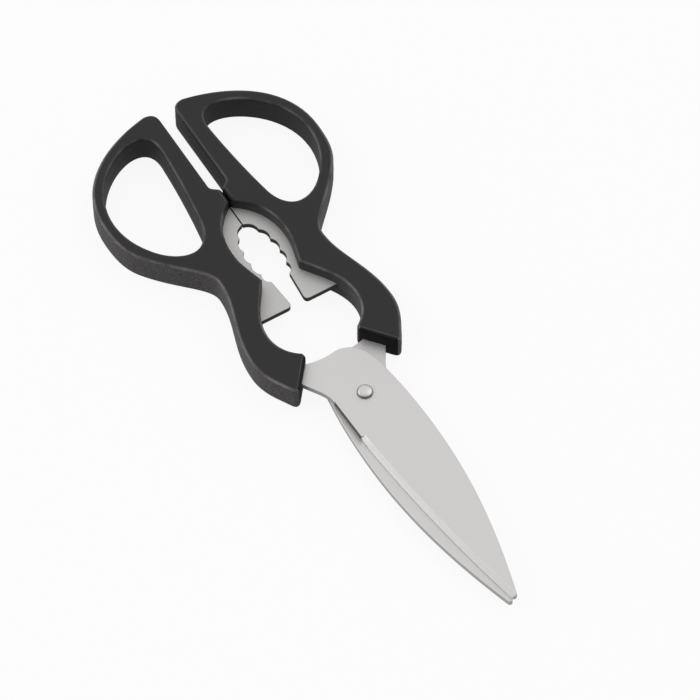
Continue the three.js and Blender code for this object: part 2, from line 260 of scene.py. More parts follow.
@dataclass
class Skin:
    """Closed mesh that is put together from stacks of rings.

    Attributes:
        side: The half that the mesh belongs to.
        points: Points in the row frame.
        faces: Faces as lists of point numbers.
        marks: Each mask's value at each point.
    """

    side: Side
    points: Ring = field(default_factory=list)
    faces: list[tuple[int, ...]] = field(default_factory=list)
    marks: Marks = field(default_factory=lambda: {mark: [] for mark in Mark})

    def add_ring(self, ring: Sequence[Vector], marks: Marks | None = None) -> list[int]:
        """Adds one ring of points.

        Args:
            ring: Points in the drawing.
            marks: Masks at each point, where they aren't 0.

        Returns:
            The points' numbers.
        """
        first = len(self.points)
        self.points.extend(self.side.place(p) for p in ring)
        for mark, values in self.marks.items():
            values.extend((marks or {}).get(mark, [0.0] * len(ring)))
        return list(range(first, len(self.points)))

    def add_wall(self, below: Sequence[int], above: Sequence[int]) -> None:
        """Joins two rings of the same length with four-sided faces."""
        for i, here in enumerate(below):
            after = (i + 1) % len(below)
            self.faces.append((here, below[after], above[after], above[i]))

    def add_cap(self, rings: Sequence[Sequence[int]], upwards: bool) -> None:
        """Closes an end.

        Args:
            rings: The outline's ring and those of its holes.
            upwards: Whether the end is the upper one in the drawing.
        """
        loops = [[self.points[i] for i in ring] for ring in rings]
        numbers = [i for ring in rings for i in ring]
        for triangle in tessellate_polygon(loops):
            a, b, c = (numbers[i] for i in triangle)
            normal = (self.points[b] - self.points[a]).cross(self.points[c] - self.points[a])
            if normal.length_squared < NO_AREA:
                continue
            outwards = normal.z * self.side.value > 0
            self.faces.append((a, b, c) if outwards == upwards else (a, c, b))

    def add_layers(
        self,
        loops: Sequence[Ring],
        layers: Sequence[Layer],
        fullness: Callable[[float], float] = lambda reach: 1.0,
        ground: Callable[[Vector], float] = lambda point: 0.0,
        grain_and_light: Callable[[Vector, bool], float] = lambda point, hole: 1.0,
    ) -> None:
        """Skins a plate whose walls follow the same layers all round.

        Args:
            loops: The plate's outline and its holes.
            layers: Rings of the wall, from the lowest up.
            fullness: Share of the layers' heights that the plate has at a place along X.
            ground: Share of smooth wall, painted dark as shade, at a point of an outline.
            grain_and_light: Share of wall with coarse grain and painted light at a point of the outline or
                of a hole.
        """
        stacks = []
        for number, loop in enumerate(loops):
            mitres = inward(loop)
            smooth = [ground(p) for p in loop]
            rough = [grain_and_light(p, number > 0) for p in loop]
            # Edge polish with painted highlight is strongest on the walls with coarse grain.
            wear_and_sheen = [min(1.0, SMOOTH_WEAR_AND_SHEEN + GRAIN_WEAR_AND_SHEEN * share) for share in rough]
            stack = []
            for layer in layers:
                flat = [p + layer.inset * m for p, m in zip(loop, mitres)]
                ring = [Vector((p.x, p.y, layer.height * fullness(p.x))) for p in flat]
                marks = {
                    Mark.EDGE: [
                        layer.edge * worn_and_sheen * (1.0 - s) + layer.rim * s for worn_and_sheen, s in zip(wear_and_sheen, smooth)
                    ],
                    Mark.WALL: [layer.wall * share for share in rough],
                    Mark.GROUND: [layer.wall**GROUND_FADE * share for share in smooth],
                }
                stack.append(self.add_ring(ring, marks))
            stacks.append(stack)
        self.close(stacks)

    def close(self, stacks: Sequence[Sequence[list[int]]]) -> None:
        """Adds the walls between the rings of each stack, and both ends."""
        for stack in stacks:
            for below, above in zip(stack, stack[1:]):
                self.add_wall(below, above)
        self.add_cap([stack[0] for stack in stacks], upwards=False)
        self.add_cap([stack[-1] for stack in stacks], upwards=True)

    def finish(self, name: str, crease: float) -> bpy.types.Object:
        """Makes the Blender object.

        Args:
            name: Name of the object and its mesh.
            crease: Angle in degrees above which an edge is sharp.

        Returns:
            The object, linked to the scene.
        """
        mesh = bpy.data.meshes.new(name)
        mesh.from_pydata(self.points, [], self.faces)
        for mark, values in self.marks.items():
            layer = mesh.attributes.new(mark.value, "FLOAT", "POINT")
            layer.data.foreach_set("value", values)
        mesh.shade_smooth()
        mesh.set_sharp_from_angle(angle=math.radians(crease))
        mesh.update()
        obj = bpy.data.objects.new(name, mesh)
        bpy.context.scene.collection.objects.link(obj)
        return obj


def deliver(obj: bpy.types.Object, node: str, body: str, material: bpy.types.Material) -> None:
    """Dresses a finished piece and puts it in its node's place.

    Args:
        obj: The piece.
        node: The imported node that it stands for.
        body: The rigid body that it rides on.
        material: The piece's finish.
    """
    obj.data.materials.append(material)
    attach(obj, body)
    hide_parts(node)
    LOG.info("%s: %d faces for %s on %s", obj.name, len(obj.data.polygons), node, body)


class Socket(Enum):
    """Socket types of the node groups."""

    VALUE = "NodeSocketFloat"
    VECTOR = "NodeSocketVector"
    COLOUR = "NodeSocketColor"


@dataclass
class NodeBuilder:
    """Small helper that adds and links nodes in one tree.

    Attributes:
        tree: The node tree that is filled.
    """

    tree: bpy.types.NodeTree

    def add(
        self, kind: str, inputs: dict[str | int, object] | None = None, **settings: object
    ) -> bpy.types.Node:
        """Adds a node.

        Args:
            kind: Blender's name of the node type.
            inputs: Values or output sockets for its inputs, by name or number.
            **settings: Properties of the node.

        Returns:
            The node.
        """
        node = self.tree.nodes.new(kind)
        for name, value in settings.items():
            setattr(node, name, value)
        for key, value in (inputs or {}).items():
            if isinstance(value, bpy.types.NodeSocket):
                self.link(value, node.inputs[key])
            else:
                node.inputs[key].default_value = value
        return node

    def link(self, output: bpy.types.NodeSocket, target: bpy.types.NodeSocket) -> None:
        """Links an output socket to an input socket."""
        self.tree.links.new(output, target)

    def maths(
        self, operation: str, first: object, second: object, clamp: bool = False
    ) -> bpy.types.NodeSocket:
        """Adds a Math node and gives its output.

        Args:
            operation: Blender's name of the operation.
            first: Value or socket.
            second: Value or socket.
            clamp: Whether the result is kept between 0 and 1.

        Returns:
            The output socket.
        """
        inputs = {0: first, 1: second}
        return self.add("ShaderNodeMath", inputs, operation=operation, use_clamp=clamp).outputs[0]

    def weighted(
        self, first: object, first_weight: float, second: object, second_weight: float
    ) -> bpy.types.NodeSocket:
        """Adds two values, each times its weight, and gives the output socket."""
        weighed = self.maths("MULTIPLY", first, first_weight), self.maths("MULTIPLY", second, second_weight)
        return self.maths("ADD", *weighed)

    def noise(
        self, position: bpy.types.NodeSocket, scale: float, detail: float, roughness: float = 0.5
    ) -> bpy.types.NodeSocket:
        """Adds a noise texture and gives its value.

        Args:
            position: Where the noise is read.
            scale: Patches per unit of the position.
            detail: Number of finer octaves.
            roughness: Share of each finer octave.

        Returns:
            The output socket.
        """
        inputs = {"Vector": position, "Scale": scale, "Detail": detail, "Roughness": roughness}
        return self.add("ShaderNodeTexNoise", inputs).outputs[0]

    def contrast(self, value: bpy.types.NodeSocket) -> bpy.types.NodeSocket:
        """Stretches the middle of a noise's range to the whole range from 0 to 1."""
        inputs = {"Value": value, "From Min": NOISE_RANGE[0], "From Max": NOISE_RANGE[1]}
        return self.add("ShaderNodeMapRange", inputs).outputs["Result"]

    def spread(self, value: bpy.types.NodeSocket, low: object, high: object) -> bpy.types.NodeSocket:
        """Maps a value from 0 to 1 onto another range.

        Args:
            value: The value.
            low: Result at 0.
            high: Result at 1.

        Returns:
            The output socket.
        """
        inputs = {"Value": value, "To Min": low, "To Max": high}
        return self.add("ShaderNodeMapRange", inputs).outputs["Result"]

    def mask(self, mark: Mark) -> bpy.types.NodeSocket:
        """Gives the output of a mask that is stored at the mesh's points."""
        return self.add("ShaderNodeAttribute", attribute_name=mark.value).outputs["Fac"]

    def blend(self, share: object, first: object, second: object) -> bpy.types.NodeSocket:
        """Mixes two colours.

        Args:
            share: Share of the second colour.
            first: Colour or socket.
            second: Colour or socket.

        Returns:
            The output socket.
        """
        node = self.add("ShaderNodeMix", {0: share, 6: first, 7: second}, data_type="RGBA")
        return node.outputs[2]


def node_group(
    name: str,
    inputs: Sequence[tuple[str, Socket, object]],
    outputs: Sequence[str],
    fill: Callable[[NodeBuilder, bpy.types.Node, bpy.types.Node], None],
) -> bpy.types.NodeTree:
    """Makes a shader node group once.

    Args:
        name: The group's name.
        inputs: Name, type and usual value of each input.
        outputs: Names of the outputs, all values.
        fill: Function that adds the nodes between the group's input and output nodes.

    Returns:
        The group.
    """
    found = bpy.data.node_groups.get(name)
    if found:
        return found
    tree = bpy.data.node_groups.new(name, "ShaderNodeTree")
    for label, kind, usual in inputs:
        tree.interface.new_socket(label, in_out="INPUT", socket_type=kind.value).default_value = usual
    for label in outputs:
        tree.interface.new_socket(label, in_out="OUTPUT", socket_type=Socket.VALUE.value)
    build = NodeBuilder(tree)
    fill(build, build.add("NodeGroupInput"), build.add("NodeGroupOutput"))
    return tree


def brushed_grain() -> bpy.types.NodeTree:
    """Group for the fine parallel lines of brushed steel, with slow clouding over them."""

    def fill(build: NodeBuilder, given: bpy.types.Node, result: bpy.types.Node) -> None:
        position = given.outputs["Position"]
        factors = {0: position, 1: given.outputs["Lines per metre"]}
        stretched = build.add("ShaderNodeVectorMath", factors, operation="MULTIPLY").outputs[0]
        build.link(build.noise(stretched, 1.0, 4.0, 0.62), result.inputs["Lines"])
        build.link(build.noise(position, 70.0, 3.0), result.inputs["Clouding"])

    inputs = [("Position", Socket.VECTOR, (0, 0, 0)), ("Lines per metre", Socket.VECTOR, (300, 6000, 300))]
    return node_group("brushed_grain", inputs, ["Lines", "Clouding"], fill)


def moulded_grain() -> bpy.types.NodeTree:
    """Group for the fine spark-eroded grain of a moulded surface."""

    def fill(build: NodeBuilder, given: bpy.types.Node, result: bpy.types.Node) -> None:
        position, grains = given.outputs["Position"], given.outputs["Grains per metre"]
        pits = build.add("ShaderNodeTexVoronoi", {"Vector": position, "Scale": grains}).outputs["Distance"]
        fuzz = build.noise(position, 5200.0, 3.0)
        specks = build.noise(position, 1500.0, 3.0, 0.7)
        build.link(build.weighted(pits, 0.6, fuzz, 1.0), result.inputs["Height"])
        build.link(build.noise(position, 55.0, 4.0, 0.6), result.inputs["Clouding"])
        build.link(build.contrast(specks), result.inputs["Speckle"])

    inputs = [("Position", Socket.VECTOR, (0, 0, 0)), ("Grains per metre", Socket.VALUE, 2600.0)]
    return node_group("moulded_grain", inputs, ["Height", "Clouding", "Speckle"], fill)


def edge_polish_and_sheen() -> bpy.types.NodeTree:
    """Group for the uneven polish that handling leaves along edges, and for the painted highlight along
    them.
    """

    def fill(build: NodeBuilder, given: bpy.types.Node, result: bpy.types.Node) -> None:
        uneven = build.contrast(build.noise(given.outputs["Position"], 110.0, 5.0, 0.6))
        mask = build.maths("MULTIPLY", given.outputs["Edge"], uneven)
        wear_and_sheen = build.maths("MULTIPLY", mask, given.outputs["Amount"], clamp=True)
        build.link(wear_and_sheen, result.inputs["Wear"])

    inputs = [
        ("Position", Socket.VECTOR, (0, 0, 0)),
        ("Edge", Socket.VALUE, 0.0),
        ("Amount", Socket.VALUE, 1.0),
    ]
    return node_group("edge_polish_and_sheen", inputs, ["Wear"], fill)


def fresh_material(name: str) -> tuple[NodeBuilder, bpy.types.Node, bpy.types.Material]:
    """Starts a material.

    Args:
        name: The material's name.

    Returns:
        A builder for its nodes, its Principled BSDF and the material.
    """
    material = bpy.data.materials.new(name)
    material.use_nodes = True
    tree = material.node_tree
    tree.nodes.clear()
    build = NodeBuilder(tree)
    shader = build.add("ShaderNodeBsdfPrincipled")
    build.add("ShaderNodeOutputMaterial", {"Surface": shader.outputs[0]})
    return build, shader, material


def shaded(colour: Colour, factor: float) -> Colour:
    """Makes a colour darker or lighter.

    Args:
        colour: The colour.
        factor: Factor on its red, green and blue.

    Returns:
        The new colour, opaque.
    """
    red, green, blue = (min(1.0, factor * part) for part in colour[:3])
    return red, green, blue, 1.0


@dataclass(frozen=True)
class Steel:
    """Brushed stainless steel.

    Attributes:
        name: Name of the material.
        colour: Colour of the brushed faces.
        wall_colour: Colour of the stamped cut walls and of the rivet head's foot, painted dark as shade.
        ground_colour: Colour of the ground faces, lighter partly for the finer grind and partly as painted
            highlight.
        roughness: Least and most roughness of the faces.
        dulling: Added roughness of the cut walls and of the ground faces.
        lines: Lines per metre along X, Y and Z.
        line_share: Share of the lines in the streaks. The rest is slow clouding.
        streak_shades: Factors on the colour in the darkest and the lightest streaks.
        polish_and_sheen_shade: Factor on the colour along the edges, for their polish and for painted
            highlight.
        relief: Strength of the lines' relief.
        line_depth: Depth of the lines in metres.
        wear_and_sheen: Amount of edge polish and painted highlight.
    """

    name: str
    colour: Colour = (0.75, 0.738, 0.733, 1.0)
    wall_colour: Colour = (0.18, 0.18, 0.176, 1.0)
    ground_colour: Colour = (0.84, 0.84, 0.83, 1.0)
    roughness: tuple[float, float] = (0.48, 0.62)
    dulling: tuple[float, float] = (0.18, 0.05)
    lines: tuple[float, float, float] = (220.0, 7000.0, 220.0)
    line_share: float = 0.7
    streak_shades: tuple[float, float] = (0.9, 1.06)
    polish_and_sheen_shade: float = 1.18
    relief: float = 0.035
    line_depth: float = 2e-5
    wear_and_sheen: float = 0.8

    def material(self) -> bpy.types.Material:
        """Builds the material."""
        build, shader, material = fresh_material(self.name)
        position = build.add("ShaderNodeTexCoord").outputs["Object"]
        edge, wall, ground = (build.mask(mark) for mark in Mark)
        grain_inputs = {"Position": position, "Lines per metre": self.lines}
        grain = build.add("ShaderNodeGroup", grain_inputs, node_tree=brushed_grain())
        lines, clouding = grain.outputs["Lines"], grain.outputs["Clouding"]
        wear_and_sheen_inputs = {"Position": position, "Edge": edge, "Amount": self.wear_and_sheen}
        worn_and_sheen = build.add("ShaderNodeGroup", wear_and_sheen_inputs, node_tree=edge_polish_and_sheen()).outputs["Wear"]

        dark, light = (shaded(self.colour, factor) for factor in self.streak_shades)
        streaks = build.weighted(lines, self.line_share, clouding, 1.0 - self.line_share)
        # Ground faces take a lighter colour, partly for the finer grind and partly as painted highlight.
        face = build.blend(ground, build.blend(streaks, dark, light), self.ground_colour)
        # Cut walls are painted dark as shade.
        cut = build.blend(wall, face, self.wall_colour)
        # Edges are lightened for their polish and as painted highlight.
        finish_with_sheen = build.blend(worn_and_sheen, cut, shaded(self.colour, self.polish_and_sheen_shade))
        build.link(finish_with_sheen, shader.inputs["Base Color"])
        dulled = build.weighted(wall, self.dulling[0], ground, self.dulling[1])
        rough = build.maths("ADD", build.spread(lines, *self.roughness), dulled)
        build.link(rough, shader.inputs["Roughness"])
        relief = {"Strength": self.relief, "Distance": self.line_depth, "Height": lines}
        build.link(build.add("ShaderNodeBump", relief).outputs[0], shader.inputs["Normal"])
        shader.inputs["Metallic"].default_value = 1.0
        return material


@dataclass(frozen=True)
class Plastic:
    """Matte moulded plastic.

    Attributes:
        name: Name of the material.
        colour: Colour of the plain faces.
        cloud_shade: Factor on that colour in the lightest clouds.
        wall_colours: Darkest and lightest colour of the side walls with coarse grain, lighter than the plain
            faces partly as painted light.
        end_colour: Colour of the smooth end faces and stop faces, painted dark as shade.
        worn_and_sheen_colour: Colour along the edges where handling has rubbed them, with painted highlight.
        roughness: Least and most roughness.
        dulling: Added roughness of the grained walls.
        polish: Roughness that the edges lose where handling has rubbed them.
        gloss: Specular level of the plain faces and of the end faces.
        grains: Grains per metre.
        relief: Strength of the grain's relief.
        grain_depth: Depth of the grain in metres.
        wear_and_sheen: Amount of edge polish and painted highlight.
    """

    name: str
    colour: Colour = (0.0104, 0.0087, 0.0092, 1.0)
    cloud_shade: float = 1.5
    wall_colours: tuple[Colour, Colour] = ((0.055, 0.051, 0.0525, 1.0), (0.15, 0.141, 0.144, 1.0))
    end_colour: Colour = (0.005, 0.0044, 0.0046, 1.0)
    worn_and_sheen_colour: Colour = (0.28, 0.268, 0.272, 1.0)
    roughness: tuple[float, float] = (0.44, 0.56)
    dulling: float = 0.06
    polish: float = 0.15
    gloss: tuple[float, float] = (0.42, 0.12)
    grains: float = 2600.0
    relief: float = 0.22
    grain_depth: float = 4e-5
    wear_and_sheen: float = 0.75

    def material(self) -> bpy.types.Material:
        """Builds the material."""
        build, shader, material = fresh_material(self.name)
        position = build.add("ShaderNodeTexCoord").outputs["Object"]
        edge, wall, end = (build.mask(mark) for mark in Mark)
        grain_inputs = {"Position": position, "Grains per metre": self.grains}
        grain = build.add("ShaderNodeGroup", grain_inputs, node_tree=moulded_grain())
        clouding, height = grain.outputs["Clouding"], grain.outputs["Height"]
        wear_and_sheen_inputs = {"Position": position, "Edge": edge, "Amount": self.wear_and_sheen}
        worn_and_sheen = build.add("ShaderNodeGroup", wear_and_sheen_inputs, node_tree=edge_polish_and_sheen()).outputs["Wear"]

        plain = build.blend(clouding, self.colour, shaded(self.colour, self.cloud_shade))
        # Side walls are lighter than the plain faces, partly as painted light on the outer, lit side.
        speckled = build.blend(grain.outputs["Speckle"], *self.wall_colours)
        # End and stop faces are painted dark as shade.
        moulded = build.blend(end, build.blend(wall, plain, speckled), self.end_colour)
        # Edges are lightened for their polish and as painted highlight.
        build.link(build.blend(worn_and_sheen, moulded, self.worn_and_sheen_colour), shader.inputs["Base Color"])
        changed = build.weighted(wall, self.dulling, worn_and_sheen, -self.polish)
        rough = build.maths("ADD", build.spread(clouding, *self.roughness), changed)
        build.link(rough, shader.inputs["Roughness"])
        relief = {"Strength": self.relief, "Distance": self.grain_depth, "Height": height}
        build.link(build.add("ShaderNodeBump", relief).outputs[0], shader.inputs["Normal"])
        build.link(build.spread(end, *self.gloss), shader.inputs["Specular IOR Level"])
        return material


@dataclass
class Blade:
    """A ground blade with the tang that its handle is moulded around.

    Attributes:
        reach: From the pivot to the tip.
        thickness: Thickness of the steel.
        clearance: Half the gap between the two blades.
        edge_start: Reach and offset of the start of the ground edge.
        edge_belly: Control point of the cutting edge's curve.
        grind_width: Width of the grind at its start and at the tip.
        grind_land: Height of the flat left along the cutting edge.
        heel_depth: Depth of the grind where it starts.
        run_in: Share of the edge over which it reaches its full depth.
        arris: Width of the painted highlight line along the grind.
        chamfer: Broken corner along the other edges.
        bore: Radius of the hole for the rivet.
    """

    reach: float = 85.5
    thickness: float = 2.0
    clearance: float = 0.05
    edge_start: tuple[float, float] = (13.5, 9.45)
    edge_belly: tuple[float, float] = (49.0, 7.2)
    grind_width: tuple[float, float] = (1.3, 1.4)
    grind_land: float = 0.2
    heel_depth: float = 0.5
    run_in: float = 1 / 16
    arris: float = 0.16
    chamfer: float = 0.1
    bore: float = 2.1

    def outline(self) -> tuple[Ring, list[float], list[float]]:
        """Draws the blade.

        Returns:
            The outline's points. For each the share of the grind there: below zero where the edge isn't
            ground, otherwise from 0 at its start to 1 at the tip. For each the share of cut wall painted
            dark as shade: most on the heel, little on the tang and none along the back.
        """
        tang_cover, tang_end, tang_width = 2.3, 33.0, 7.6
        # The heel and tang shares set how much painted shade the cut walls get.
        heel_step, heel_shade, tang_shade = 0.06, 1.0, 0.12
        blunt_tip = ((0.3, -1.4), (0.0, -0.55), (0.25, -0.15), (0.8, 0.12))
        outer, inner = end_face_point(0.0), end_face_point(-tang_width)
        outer_side, inner_side = ARM_OFFSET - tang_cover, OPENER_DEPTH + tang_cover
        heel = Vector((-1.5, 9.9))
        start = Vector(self.edge_start)
        step_back = start + (heel - start).normalized() * heel_step
        pen = Outline(steps=28)
        pen.line(*start)
        pen.line(*step_back)
        pen.divided_line(*heel, 12)
        heeled = len(pen.points)
        pen.sweep(outer.x, outer.y, (0.38, 0.06, 0.66, 0.59))
        pen.sweep(-ARM_REACH, outer_side, (0.35, 0.52, 0.57, 1.0))
        pen.line(-tang_end, outer_side)
        pen.line(-tang_end, inner_side)
        rough = len(pen.points)
        pen.sweep(inner.x, inner.y, (0.47, 0.0, 0.63, 0.31))
        pen.bow(Vector((-16.8, inner.y / 2)), Vector((-17.8, 0.0)))
        pen.sweep(-3.2, -10.35, (0.0, 0.68, 0.43, 0.925))
        pen.sweep(22.0, -11.95, (0.3, 0.67, 0.6, 1.0))
        pen.sweep(self.reach - blunt_tip[0][0], blunt_tip[0][1], (0.38, 0.0, 0.7, 0.45))
        for back, offset in blunt_tip[1:]:
            pen.line(self.reach - back, offset)
        plain = len(pen.points)
        pen.steps = 48
        pen.bow(Vector(self.edge_belly), start)
        shares = [-1.0] * (plain - 1) + [1.0 - i / pen.steps for i in range(pen.steps)] + [0.0]
        shares[0] = shares.pop()
        cut = [heel_shade] * heeled + [tang_shade] * (rough - heeled) + [0.0] * (len(shares) - rough)
        return pen.points[:-1], shares, cut

    def build(self, side: Side, name: str) -> bpy.types.Object:
        """Builds the blade's mesh.

        Args:
            side: The half that it belongs to.
            name: The object's name.

        Returns:
            The object.
        """
        points, shares, cut = self.outline()
        mitres = inward(points)
        top, bottom = -self.clearance, -self.clearance - self.thickness
        full_depth = self.thickness - self.grind_land
        # A thin painted highlight runs along the grind's upper boundary, on the corner ring and the ring
        # just above it.
        sheen_rise, fade = 0.14, 0.24
        flat, corner, sheen_line, bevel, low, high, inner = ([] for _ in range(7))
        for point, mitre, share in zip(points, mitres, shares):
            width = depth = self.chamfer
            if share >= 0.0:
                width = self.grind_width[0] + (self.grind_width[1] - self.grind_width[0]) * share
                depth = self.heel_depth + (full_depth - self.heel_depth) * min(1.0, share / self.run_in)
            flat.append((point + (width + self.arris) * mitre).to_3d() + Vector((0, 0, bottom)))
            foot = (point + width * mitre).to_3d() + Vector((0, 0, bottom))
            rim = point.to_3d() + Vector((0, 0, bottom + depth))
            corner.append(foot)
            sheen_line.append(foot.lerp(rim, sheen_rise))
            bevel.append(foot.lerp(rim, fade))
            low.append(rim)
            high.append(point.to_3d() + Vector((0, 0, top - min(self.chamfer, self.grind_land))))
            broken = 0.0 if share >= 0.0 else self.chamfer
            inner.append((point + broken * mitre).to_3d() + Vector((0, 0, top)))
        ground = [1.0 if share >= 0.0 else 0.0 for share in shares]
        # Cut walls outside the grind carry painted shade.
        wall = [share * (1.0 - here) for share, here in zip(cut, ground)]
        # The edge mark paints a highlight line along the grind's top boundary.
        bright = {Mark.EDGE: ground, Mark.GROUND: ground}
        skin = Skin(side)
        stack = [
            skin.add_ring(flat),
            skin.add_ring(corner, bright),
            skin.add_ring(sheen_line, bright | {Mark.WALL: wall}),
            skin.add_ring(bevel, {Mark.GROUND: ground, Mark.WALL: wall}),
            skin.add_ring(low, {Mark.GROUND: ground, Mark.WALL: wall}),
            skin.add_ring(high, {Mark.WALL: wall}),
            skin.add_ring(inner),
        ]
        hole = circle(Vector((0.0, 0.0)), self.bore, 48)
        heights = [Vector((0, 0, z)) for z in (bottom, top)]
        skin.close([stack, [skin.add_ring([p.to_3d() + height for p in hole]) for height in heights]])
        return skin.finish(name, crease=24.0)


@dataclass
class JawPlate:
    """A stamped plate with the jaw's teeth and the opener's tongue.

    Attributes:
        thickness: Thickness of the steel.
        anchor: Depth of the flange inside the plastic.
        tooth_depth: Depth of the hollows between the teeth.
        teeth: Number of tooth tips.
        pitch: Distance between the tips.
        chamfer: Broken corner along the cut edges.
    """

    thickness: float = 2.0
    anchor: float = 4.0
    tooth_depth: float = 1.0
    teeth: int = 4
    pitch: float = 5.15
    chamfer: float = 0.12

    def outline(self) -> Ring:
        """Draws the plate: seam, teeth, tongue and flange."""
        seam, tail = STOP_GAP / 2, STOP_NEAR + 2.7
        arc_radius, arc_centre, arc_offset, first_tooth = 26.0, 61.0, 5.25, 55.1
        tongue_end, tongue_offset, tongue_round = 39.6, 2.5, 1.6
        seam_end, last_tip = 74.4, Vector((-50.9, 3.3))
        pen = Outline(steps=10)
        pen.line(-tail, seam)
        pen.line(-seam_end, seam)
        first = math.asin((arc_centre - first_tooth) / arc_radius)
        for tooth in reversed(range(self.teeth)):
            angle = first - tooth * self.pitch / arc_radius
            along, sunk = arc_radius * math.sin(angle), arc_radius * (1 - math.cos(angle))
            pen.scallop(Vector((-arc_centre + along, arc_offset - sunk)), self.tooth_depth)
        pen.scallop(last_tip, self.tooth_depth)
        pen.line(-tongue_end - tongue_round, tongue_offset)
        pen.bow(Vector((-tongue_end, tongue_offset)), Vector((-tongue_end, tongue_offset + tongue_round)))
        pen.line(-tongue_end, OPENER_DEPTH + self.anchor / 3)
        pen.sweep(-JAW_CENTRE, JAW_DEPTH + self.anchor, (0.33, 0.6, 0.6, 0.95))
        pen.sweep(-tail, seam + self.anchor, (0.36, 0.0, 0.7, 0.48))
        return pen.ring()

    def build(self, side: Side, name: str) -> bpy.types.Object:
        """Builds the plate's mesh.

        Args:
            side: The half that it belongs to.
            name: The object's name.

        Returns:
            The object.
        """
        half, cut = self.thickness / 2, self.chamfer
        # The side walls take the steel's painted shade.
        layers = [
            Layer(cut, -half),
            Layer(0.0, -half + cut, wall=1.0),
            Layer(0.0, half - cut, wall=1.0),
            Layer(cut, half),
        ]
        skin = Skin(side)
        skin.add_layers([self.outline()], layers)
        return skin.finish(name, crease=24.0)


